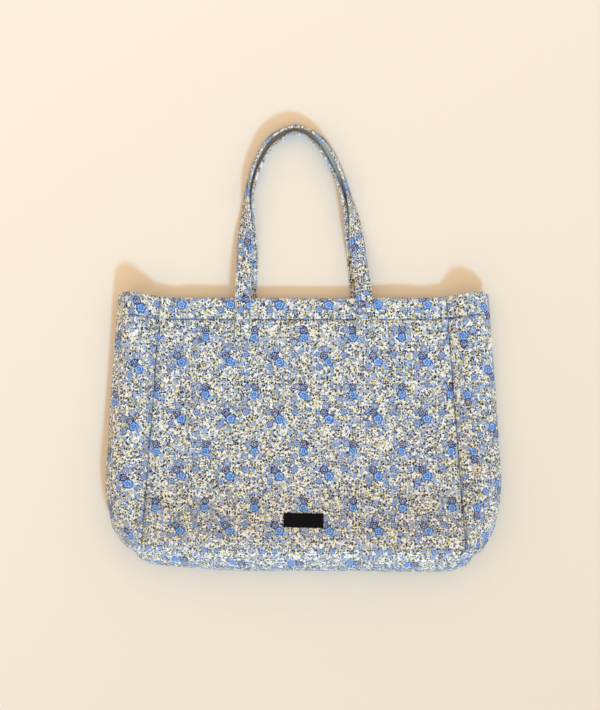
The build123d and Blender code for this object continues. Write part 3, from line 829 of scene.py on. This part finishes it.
# ------------------------------------------------------------
# Base
# The band's middle stretch, which goes round under the bag from the front panel's seam to the back panel's,
# with a full corner at each end. A hidden tongue runs up behind the upper pieces' lower ends.
# ------------------------------------------------------------
BASE_LIE = [
    # y and height at the middle and at the seams, then crown, shoulder and crease: across, y and height
    ((-262.5, 60.5), (203.2, -260.5, 56.4), (211.0, -259.8, 51.6),
     (216.6, -259.0, 44.0), (220.6, -258.6, 29.0)),
    ((-272.5, 49.5), (203.8, -270.5, 46.0), (208.6, -268.8, 42.6),
     (211.8, -267.6, 37.6), (214.0, -266.6, 29.0)),
    ((-279.5, 35.5), (204.0, -277.0, 34.0), (206.8, -275.8, 32.4),
     (208.8, -274.4, 30.6), (210.2, -273.0, 28.0)),
    ((-281.5, 22.0), (203.6, -279.2, 22.4), (205.8, -278.2, 23.0),
     (207.4, -277.2, 24.0), (208.6, -276.0, 25.0)),
    ((-277.5, 7.5), (203.6, -274.5, 9.0), (207.6, -273.0, 12.0),
     (209.4, -272.6, 19.0), (210.2, -273.0, 28.0)),
    ((-268.5, 1.2), (204.0, -266.5, 2.2), (210.0, -266.0, 6.0),
     (213.0, -266.0, 15.0), (214.0, -266.6, 29.0)),
    ((-257.0, 0.1), (203.4, -256.4, 0.6), (212.0, -256.6, 3.4),
     (218.6, -257.4, 12.0), (220.6, -258.6, 29.0)),
]


def base_row(row):
    """One cross-section's right half as points, from the middle out to the crease."""
    (y, z), (half, seam_y, seam_z), *corner = row
    bend = [(share, share ** 4) for share in PANEL_QUARTERS]
    return [(half * share, y + (seam_y - y) * late, z + (seam_z - z) * late) for share, late in bend] + corner


CORNER_REACH = 16.0              # the base calms and thins down to its crease over this much cloth
BASE_TONGUE_BEHIND = 4.1         # from the upper pieces' face to the tongue's
EVEN_ROW = 12                    # the row, round the base, along which the print keeps its true width

base_right = [lie_row(UPPER_LIE[-1])] + [base_row(row) for row in BASE_LIE] + [lie_row(LOWER_LIE[-1])]
base_net = both_sides(base_right)
round_knots = run_length(base_net[:, MIDDLE])
base_round = round_knots[-1]
round_steps = np.linspace(0.0, base_round, 52)
base_across = np.linspace(-crease_across, crease_across, 241)
grid = on_net(base_net, round_knots, across_knots, round_steps, base_across)
grid[..., 2] = np.maximum(grid[..., 2], FLOOR_CLEAR)
spread, length = np.meshgrid(base_across, round_steps)
flat = np.stack([spread, length + 400.0], axis=-1)
lift = 0.9 * rough(flat, 55.0, 31.0) + 0.5 * rough(flat, 20.0, 33.0) + 0.15 * rough(flat, 7.0, 35.0)
lift -= 1.1 * bell(length, 3.2)
to_seam = np.where(lift > 0, smooth_step(length, 0.0, 10.0), 1.0)
lift *= (1 - smooth_step(np.abs(spread), crease_across - CORNER_REACH, crease_across)) * to_seam
lift *= 1 - smooth_step(length, 42.0, 60.0)
corner_seam = bell(np.abs(spread) - seam_across, SEAM_REACH) * (1 - smooth_step(length, 50.0, 70.0))
grid = grid + normals_of(grid) * (lift - 1.7 * corner_seam)[..., None]
grid[..., 2] = np.maximum(grid[..., 2], FLOOR_CLEAR)

tongue_down = panel_length - np.array([17.0, 12.0, 7.0, 2.0])
tongue = upper_side(base_across, tongue_down)
tongue = tongue - normals_of(tongue) * BASE_TONGUE_BEHIND
grid = np.concatenate([tongue, grid])
at_crease = smooth_step(np.abs(base_across), crease_across - CORNER_REACH, crease_across)
slim = 1 - (1 - THIN_EDGE / WALL) * at_crease
tongue_wall = np.full((len(tongue_down), len(base_across)), TONGUE_WALL)
wall = np.concatenate([tongue_wall, np.tile(WALL * slim, (len(round_steps), 1))])
round_all = np.concatenate([tongue_down - panel_length, round_steps])
run_across = run_length(grid[EVEN_ROW])
run_across -= run_across.mean()
cloth = np.stack(np.meshgrid(run_across, round_all)[::-1], axis=-1) * (-1, 1) + (22.0, 30.0)
wear_and_shade = 0.6 * bell(round_all - 14.0, 12.0)[:, None] * (0.7 + 0.6 * rough(cloth, 12.0, 8.0))
spread, length = np.meshgrid(base_across, round_all)
# Painted shade: the whole base a little darker, its corner seams and its seam with the front panel darker
# still
painted_corner_shade = bell(np.abs(spread) - seam_across, 1.5) * (1 - smooth_step(length, 40.0, 60.0))
wear_and_shade -= 0.07 + 0.5 * painted_corner_shade + 0.4 * bell(length, 1.2)
base = wall_mesh("base_cloth", grid, wall, cloth, CLOTHS, 0, wear_and_shade, turned=False)
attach(base, "back_wall")
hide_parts("base_gusset", "base_wadding", "base_lining")


# ------------------------------------------------------------
# Hem sewing
# One run of lockstitch round the mouth, 25 mm below its edge, through the panels and the gussets. The
# thread is drawn tight, so each stitch sits in its dip. The runs stop at the straps' sewn ends.
# ------------------------------------------------------------
def sewing_tree():
    """Stitches set along a line: each a slim bead that lies along the line, flat on the cloth."""
    tree = bpy.data.node_groups.new("sewn_run", "GeometryNodeTree")
    tree.interface.new_socket("Line", in_out="INPUT", socket_type="NodeSocketGeometry")
    for name in ("Pitch", "Stitch Length", "Thread Width", "Thread Height"):
        tree.interface.new_socket(name, in_out="INPUT", socket_type="NodeSocketFloat")
    tree.interface.new_socket("Thread", in_out="INPUT", socket_type="NodeSocketMaterial")
    tree.interface.new_socket("Stitches", in_out="OUTPUT", socket_type="NodeSocketGeometry")
    given = tree.nodes.new("NodeGroupInput").outputs
    line = added(tree, "GeometryNodeMeshToCurve", given["Line"])
    spaced = added(tree, "GeometryNodeResampleCurve", mode="LENGTH")
    feed(tree, spaced, {"Curve": line.outputs["Curve"], "Length": given["Pitch"]})
    bead = added(tree, "GeometryNodeMeshIcoSphere")
    feed(tree, bead, {"Radius": 0.5, "Subdivisions": 2})
    up = added(tree, "GeometryNodeInputNamedAttribute", "up", data_type="FLOAT_VECTOR").outputs["Attribute"]
    along = added(tree, "GeometryNodeInputTangent").outputs["Tangent"]
    facing = added(tree, "FunctionNodeAxesToRotation", up, along, primary_axis="Z", secondary_axis="X")
    size = added(
        tree, "ShaderNodeCombineXYZ", given["Stitch Length"], given["Thread Width"], given["Thread Height"]
    )
    placed = added(tree, "GeometryNodeInstanceOnPoints")
    feed(tree, placed, {
        "Points": spaced.outputs["Curve"],
        "Instance": bead.outputs["Mesh"],
        "Rotation": facing.outputs["Rotation"],
        "Scale": size.outputs[0],
    })
    real = added(tree, "GeometryNodeRealizeInstances", placed.outputs["Instances"])
    smooth = added(tree, "GeometryNodeSetShadeSmooth", real.outputs["Geometry"])
    coloured = added(tree, "GeometryNodeSetMaterial", smooth.outputs["Geometry"])
    joined(tree, coloured.inputs["Material"], given["Thread"])
    added(tree, "NodeGroupOutput", coloured.outputs["Geometry"])
    return tree


def thread_material(name, main, dark):
    """Spun thread: fine twisted strands, paler along their tops as painted highlight and darker between them
    as painted shade.
    """
    material, tree, shader = new_material(name)
    strands = cloudiness(tree, added(tree, "ShaderNodeTexCoord").outputs["Object"], 2600.0, 1.0)
    bumped(tree, shader, strands, 0.4, 0.1 * MM)
    # Painted highlight and shade: the colour follows the strands' bump, paler on top and darker between
    strand_colour_and_shade = mixed(tree, ranged(tree, strands, 0.3, 0.7), dark, main)
    feed(tree, shader, {"Base Color": strand_colour_and_shade, "Roughness": ranged(tree, strands, 0.0, 1.0, 0.5, 0.75)})
    return material


SEWING = sewing_tree()
BLUE_THREAD = thread_material("blue_grey_thread", paint(84, 90, 108), paint(56, 60, 78))
STITCH_PITCH = 3.0
STITCH_LENGTH = 2.3
THREAD_WIDTH = 0.6
THREAD_HEIGHT = 0.45


def sewn(name, lines, thread, pitch=STITCH_PITCH, length=STITCH_LENGTH, width=THREAD_WIDTH):
    """Sew along lines, each given as its points and the way the cloth faces at them."""
    mesh = bpy.data.meshes.new(name)
    points, ups, edges = [], [], []
    for line, facing in lines:
        first = len(points)
        points += (np.asarray(line) * MM).tolist()
        ups += np.asarray(facing).tolist()
        edges += [(first + step, first + step + 1) for step in range(len(line) - 1)]
    mesh.from_pydata(points, edges, [])
    way_up = mesh.attributes.new("up", "FLOAT_VECTOR", "POINT").data
    way_up.foreach_set("vector", np.array(ups, np.float32).ravel())
    run = put(name + "_line", mesh)
    modifier = run.modifiers.new("sewing", "NODES")
    modifier.node_group = SEWING
    sizes = {"Pitch": pitch * MM, "Stitch Length": length * MM, "Thread Width": width * MM,
             "Thread Height": THREAD_HEIGHT * MM, "Thread": thread}
    for socket in SEWING.interface.items_tree:
        if socket.name in sizes:
            modifier[socket.identifier] = sizes[socket.name]
    graph = bpy.context.evaluated_depsgraph_get()
    made = bpy.data.meshes.new_from_object(run.evaluated_get(graph))
    made.name = name
    bpy.data.objects.remove(run)
    return put(name, made)


FRONT_STRAP_X = 76.5
BACK_STRAP_X = 69.0
STRAP_WIDTH = 20.0
HEM_ABOVE = 0.12                 # a stitch's middle above the dipped cloth
SEWING_END = 1.5                 # a row of stitches stops this far from a seam or a strap


def hem_line(side_of, start, end):
    """The hem's sewn line on one side of the bag, between two places across the cloth."""
    across = np.linspace(start, end, max(int(abs(end - start) / 1.5), 3))
    grid = side_of(across, HEM_DEPTH + np.array([-0.4, 0.0, 0.4]))
    facing = normals_of(grid)[1]
    return grid[1] + facing * HEM_ABOVE, facing


hem_rows = (
    ("front", upper_side, seam_across, FRONT_STRAP_X, 1),
    ("back", lower_side, back_seam, BACK_STRAP_X, -1),
)
for name, side_of, seam, strap_x, way in hem_rows:
    edge = seam - SEWING_END
    beside_strap = STRAP_WIDTH / 2 + SEWING_END
    far, near = strap_x + beside_strap, strap_x - beside_strap
    spans = [(way * start, way * end) for start, end in ((-edge, -far), (-near, near), (far, edge))]
    stitches = sewn(name + "_hem_stitches", [hem_line(side_of, *span) for span in spans], BLUE_THREAD)
    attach(stitches, name + "_wall")
    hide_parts(name + "_hem_stitching")

gusset_rows = (
    ("upper", upper_side, seam_across, crease_across, "front_wall", "back_wall", 1),
    ("lower", lower_side, back_seam, lower_crease, "back_wall", "front_wall", -1),
)
for side, name in ((-1, "left"), (1, "right")):
    for half, side_of, seam, crease, own_wall, other_wall, way in gusset_rows:
        start, end = sorted((side * (seam + SEWING_END), side * (crease - 1.0)))[::way]
        stitches = sewn(f"{name}_gusset_{half}_stitches", [hem_line(side_of, start, end)], BLUE_THREAD)
        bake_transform(stitches)


# ------------------------------------------------------------
# Label
# A small black woven tape label, left bare, its two short ends folded under. It is sewn to the front
# panel's slope along both short ends, and sits a little askew.
# ------------------------------------------------------------
LABEL_WIDTH = 50.0
LABEL_HEIGHT = 20.0
LABEL_WALL = 0.8
LABEL_UP = 34.5                  # its middle above the base seam, up the bag
LABEL_TILT = math.radians(-1.7)
LABEL_STITCH_INSET = 2.0
RIB_PITCH = 0.55                 # the tape's weave, along and across
WARP_PITCH = 0.8

black_tape, tape_tree, tape_shader = new_material("black_woven_tape")
tape_place = cloth_place(tape_tree)
rib = split(tape_tree, tape_place)
ribs = maths(tape_tree, "SINE", maths(tape_tree, "MULTIPLY", rib["Y"], 2 * math.pi / RIB_PITCH))
crossed = maths(tape_tree, "SINE", maths(tape_tree, "MULTIPLY", rib["X"], 2 * math.pi / WARP_PITCH))
tape_height = maths(tape_tree, "MULTIPLY_ADD", crossed, 0.35, ribs)
lint = cloudiness(tape_tree, tape_place, 0.7, 3.0)
# Painted shade and highlight: the tape is darker down in the grooves of its weave and paler on its ribs
tape_colour_and_weave_shade = mixed(tape_tree, ranged(tape_tree, tape_height, -1.3, 1.3), paint(5, 4, 7), paint(21, 18, 22))
tape_colour_and_weave_shade = mixed(tape_tree, ranged(tape_tree, lint, 0.55, 0.8, 0.0, 0.2), tape_colour_and_weave_shade, paint(48, 46, 52))
bumped(tape_tree, tape_shader, tape_height, 0.5, 0.12 * MM)
tape_rough = ranged(tape_tree, lint, 0.2, 0.8, 0.62, 0.78)
feed(tape_tree, tape_shader, {"Base Color": tape_colour_and_weave_shade, "Roughness": tape_rough, "Specular IOR Level": 0.08})

grid_rows, grid_columns = front_grid.shape[:2]
cell = np.arange(grid_rows * grid_columns).reshape(grid_rows, grid_columns)
cells = np.stack([cell[:-1, :-1], cell[1:, :-1], cell[1:, 1:], cell[:-1, 1:]], axis=-1).reshape(-1, 4)
front_skin = BVHTree.FromPolygons(front_grid.reshape(-1, 3).tolist(), cells.tolist())


def on_front(x, y):
    """The front panel's face above a place on the floor, and the way it faces there."""
    place, facing, _, _ = front_skin.ray_cast(Vector((x, y, 300.0)), Vector((0, 0, -1)))
    return np.array(place), np.array(facing) * (1 if facing.z > 0 else -1)


label_middle, label_facing = on_front(0.0, ridge_y + LABEL_UP)
label_up = np.cross(label_facing, (1.0, 0.0, 0.0))
label_up /= np.linalg.norm(label_up)
label_across = np.cross(label_up, label_facing)
tilt_across = label_across * math.cos(LABEL_TILT) + label_up * math.sin(LABEL_TILT)
tilt_up = label_up * math.cos(LABEL_TILT) - label_across * math.sin(LABEL_TILT)
tape_across = np.concatenate([[-25.0, -24.7, -24.2], np.linspace(-23.0, 23.0, 47), [24.2, 24.7, 25.0]])
tape_up = np.concatenate([[10.0, 9.85, 9.6], np.linspace(9.0, -9.0, 19), [-9.6, -9.85, -10.0]])
tape = np.zeros((len(tape_up), len(tape_across), 3))
for row, up in enumerate(tape_up):
    for column, aside in enumerate(tape_across):
        flat_place = label_middle + tilt_across * aside + tilt_up * up
        place, facing = on_front(flat_place[0], flat_place[1])
        edge = min(LABEL_WIDTH / 2 - abs(aside), LABEL_HEIGHT / 2 - abs(up))
        rounded = 0.35 * math.exp(-edge / 0.35)
        folded = 0.18 * float(smooth_step(abs(aside), 17.0, 19.5))
        sewn_in = 0.28 * bell(LABEL_WIDTH / 2 - LABEL_STITCH_INSET - abs(aside), 0.7)
        tape[row, column] = flat_place * (1, 1, 0) + (0, 0, place[2]) + facing * (
            LABEL_WALL + 0.2 + folded - rounded - sewn_in
        )
tape_cloth = np.stack(np.meshgrid(tape_across, tape_up), axis=-1)
tape_wall = np.full(tape.shape[:2], LABEL_WALL)
unworn = np.zeros(tape.shape[:2])
tapes = [black_tape, black_tape]
label = wall_mesh("woven_label", tape, tape_wall, tape_cloth, tapes, 0, unworn, turned=False)
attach(label, "front_wall")
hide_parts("label")

BLACK_THREAD = thread_material("black_thread", paint(44, 42, 48), paint(18, 17, 20))
label_lines = []
tape_facing = normals_of(tape)
for aside in (-1, 1):
    column = int(np.argmin(np.abs(tape_across - aside * (LABEL_WIDTH / 2 - LABEL_STITCH_INSET))))
    rows = slice(3, len(tape_up) - 3)
    label_lines.append((tape[rows, column] + tape_facing[rows, column] * 0.1, tape_facing[rows, column]))
label_stitches = sewn("label_stitches", label_lines, BLACK_THREAD, pitch=1.9, length=1.6, width=0.42)
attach(label_stitches, "front_wall")
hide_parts("label_stitching")


# ------------------------------------------------------------
# Handles
# Two long straps of the same print, sewn round a webbing core with a row of stitching down each edge. Each
# end is sewn flat to the outside of its panel in a box of stitches, and the loops lie out past the mouth,
# flat at first and then turned nearly on edge.
# ------------------------------------------------------------
HANDLE_DROP = 218.0
STRAP_SEWN_LENGTH = 50.0
STRAP_THICK = 4.0
FLOOR_GAP = 0.4
TWIST_START = 35.0
TWIST_END = 145.0
TWIST_TURN = math.radians(80.0)
SLOPE_LENGTH = 130.0
FRONT_HANDLE_RUN = [
    (-FRONT_STRAP_X, 0.0), (-74.5, 0.22), (-73.0, 0.45), (-70.8, 0.63), (-61.0, 0.79), (-42.0, 0.93),
    (-8.0, 0.9955), (20.0, 0.935), (38.0, 0.83), (51.0, 0.695), (61.5, 0.52), (69.5, 0.25),
    (FRONT_STRAP_X, 0.0),
]
BACK_HANDLE_RUN = [
    (-BACK_STRAP_X, 0.0), (-67.5, 0.22), (-69.0, 0.45), (-64.6, 0.62), (-55.5, 0.76), (-37.5, 0.89),
    (-8.0, 0.956), (14.0, 0.90), (30.0, 0.80), (44.5, 0.66), (56.5, 0.48), (65.0, 0.24),
    (BACK_STRAP_X, 0.0),
]
# Half of the strap's section, across and up from its middle line, with the dip of each row of stitching
STRAP_SECTION = [
    (-10.0, 0.0), (-9.85, 0.85), (-9.4, 1.4), (-8.8, 1.55), (-8.2, 1.2), (-7.6, 1.6), (-6.4, 1.9),
    (-4.0, 2.05),
    (-1.5, 2.1), (1.5, 2.1), (4.0, 2.05), (6.4, 1.9), (7.6, 1.6), (8.2, 1.2), (8.8, 1.55), (9.4, 1.4),
    (9.85, 0.85), (10.0, 0.0),
]
STITCH_COLUMNS = (4, 13)
GROOVE_OUT = 8.2                 # from the strap's middle line to each row of stitching
BOX_INSET = 2.0                  # the box of stitches at a sewn end, from the strap's end
BOX_LENGTH = 26.0
STRAP_STEP = 1.8
FOOT_EASE = 8.0                  # the strap leaves its foot's height over this length
LAST_SEWN = 1.0                  # the last sewn place, below the mouth's edge
BEND_BELOW = 5.0                 # where the fold starts and ends, each way from the mouth's edge


def strap_frames(run, foot_z):
    """The strap's middle line from one sewn end to the other, with the ways of its width and its face."""
    foot_x = abs(run[0][0])
    ends = (-STRAP_SEWN_LENGTH, -STRAP_SEWN_LENGTH / 2)
    loop = [(x, share * HANDLE_DROP) for x, share in run]
    plan = np.array([(-foot_x, out) for out in ends] + loop + [(foot_x, out) for out in ends[::-1]])
    knots = run_length(plan)
    steps = np.linspace(0, knots[-1], int(knots[-1] / STRAP_STEP))
    line = through(knots, plan, steps)
    first, last = knots[2], knots[-3]
    from_mouth = np.minimum(steps - first, last - steps)
    line_y = line[:, 1] + mouth_y
    along = np.gradient(np.stack([line[:, 0], line_y, 0 * line_y], axis=1), axis=0)
    along /= np.linalg.norm(along, axis=1, keepdims=True)
    turn = TWIST_TURN * smooth_step(from_mouth, TWIST_START, TWIST_END)
    upright = np.array([0.0, 0.0, 1.0])
    face = upright * np.cos(turn)[:, None] - np.cross(along, upright) * np.sin(turn)[:, None]
    side = np.cross(along, face)
    resting = (np.abs(side[:, 2]) * STRAP_WIDTH + np.abs(face[:, 2]) * STRAP_THICK) / 2 + FLOOR_GAP
    start_z = np.mean([foot_z(line[end, 0], mouth_y - LAST_SEWN) for end in (0, -1)])
    lift = (start_z - FLOOR_GAP - STRAP_THICK / 2) * (1 - smooth_step(from_mouth, 0.0, SLOPE_LENGTH))
    height = resting + lift
    for step, beyond in enumerate(from_mouth):
        if beyond < FOOT_EASE:
            sewn_z = foot_z(line[step, 0], min(line_y[step], mouth_y - LAST_SEWN))
            share = float(smooth_step(beyond, -FOOT_EASE / 2, FOOT_EASE))
            height[step] = sewn_z * (1 - share) + height[step] * share
    middle = np.stack([line[:, 0], line_y, height], axis=1)
    along = np.gradient(middle, axis=0)
    along /= np.linalg.norm(along, axis=1, keepdims=True)
    face = np.cross(side, along)
    face /= np.linalg.norm(face, axis=1, keepdims=True)
    return steps, from_mouth, middle, side, face


def strap(name, run, foot_z, seed):
    """A handle in one mesh, and the lines of its stitching."""
    steps, from_mouth, middle, side, face = strap_frames(run, foot_z)
    section = np.array(STRAP_SECTION)
    ring = np.concatenate([section, section[-2:0:-1] * (1, -1)])
    count, around = len(steps), len(ring)
    where = np.stack(np.meshgrid(ring[:, 0], steps), axis=-1)
    groove = bell(np.abs(ring[:, 0]) - GROOVE_OUT, 1.6)[None, :]
    uneven = 0.16 * rough(where * (1.0, 0.8), 5.0, seed) * (0.4 + groove)
    uneven = uneven + 0.22 * rough(where, 22.0, seed + 5.0)
    wide = ring[:, 0][None, :] * (1 + 0.018 * rough(where * (0.0, 1.0), 18.0, seed + 2.0))
    closed_in = np.minimum(np.minimum(steps, steps[-1] - steps) / 1.6, 1.0)
    thick = ring[:, 1][None, :] * (1 + uneven * 0.5) * np.sqrt(0.25 + 0.75 * closed_in)[:, None]
    points = middle[:, None] + side[:, None] * wide[..., None] + face[:, None] * thick[..., None]
    index = np.arange(count * around).reshape(count, around)
    after = np.roll(index, -1, axis=1)
    quads = np.stack([index[:-1], index[1:], after[1:], after[:-1]], axis=-1).reshape(-1, 4)
    faces = quads.tolist() + [index[0].tolist(), index[-1, ::-1].tolist()]
    mesh = bpy.data.meshes.new(name)
    mesh.from_pydata((points.reshape(-1, 3) * MM).tolist(), [], faces)
    mesh.materials.append(PRINT_CLOTH)
    flat = np.stack(np.meshgrid(run_length(ring) + seed * 11.0, steps + seed * 17.0), axis=-1)
    edge_wear = np.exp(-(STRAP_WIDTH / 2 - np.abs(ring[:, 0])) / 1.2) * 0.8
    dress(mesh, flat.reshape(-1, 2) * MM, np.tile(edge_wear, (count, 1)))
    mesh.update()

    lines = []
    inner = slice(2, count - 2)
    for column in STITCH_COLUMNS:
        for back, way in ((column, 1), (around - column, -1)):
            facing = face[inner] * way
            lines.append((points[inner, back] + facing * 0.1, facing))
    for end in (0, 1):
        order = np.arange(count) if end == 0 else np.arange(count)[::-1]
        for place in (BOX_INSET, BOX_INSET + BOX_LENGTH):
            row = order[int(round(place / STRAP_STEP))]
            columns = np.arange(STITCH_COLUMNS[0] + 1, STITCH_COLUMNS[1])
            facing = np.tile(face[row], (len(columns), 1))
            lines.append((points[row, columns] + facing * 0.1, facing))
    return put(name, mesh), lines


def front_foot(x, y):
    """The strap's middle where it is sewn on the front panel."""
    return on_front(x, min(y, mouth_y - BEND_BELOW))[0][2] + STRAP_THICK / 2 + 0.2


def back_foot(x, y):
    """The same under the back panel, where the strap lies on the floor."""
    return FLOOR_GAP + STRAP_THICK / 2 - 0.05


handle_rows = (
    ("front", FRONT_HANDLE_RUN, front_foot, 1.0),
    ("back", BACK_HANDLE_RUN, back_foot, 2.0),
)
for name, run, foot_z, seed in handle_rows:
    handle, lines = strap(name + "_handle_strap", run, foot_z, seed)
    stitches = sewn(name + "_strap_stitches", lines, BLUE_THREAD, pitch=2.8, length=2.1, width=0.5)
    for piece in (handle, stitches):
        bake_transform(piece)
    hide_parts(name + "_handle", name + "_handle_webbing", name + "_strap_ends")
    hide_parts(name + "_strap_stitching")
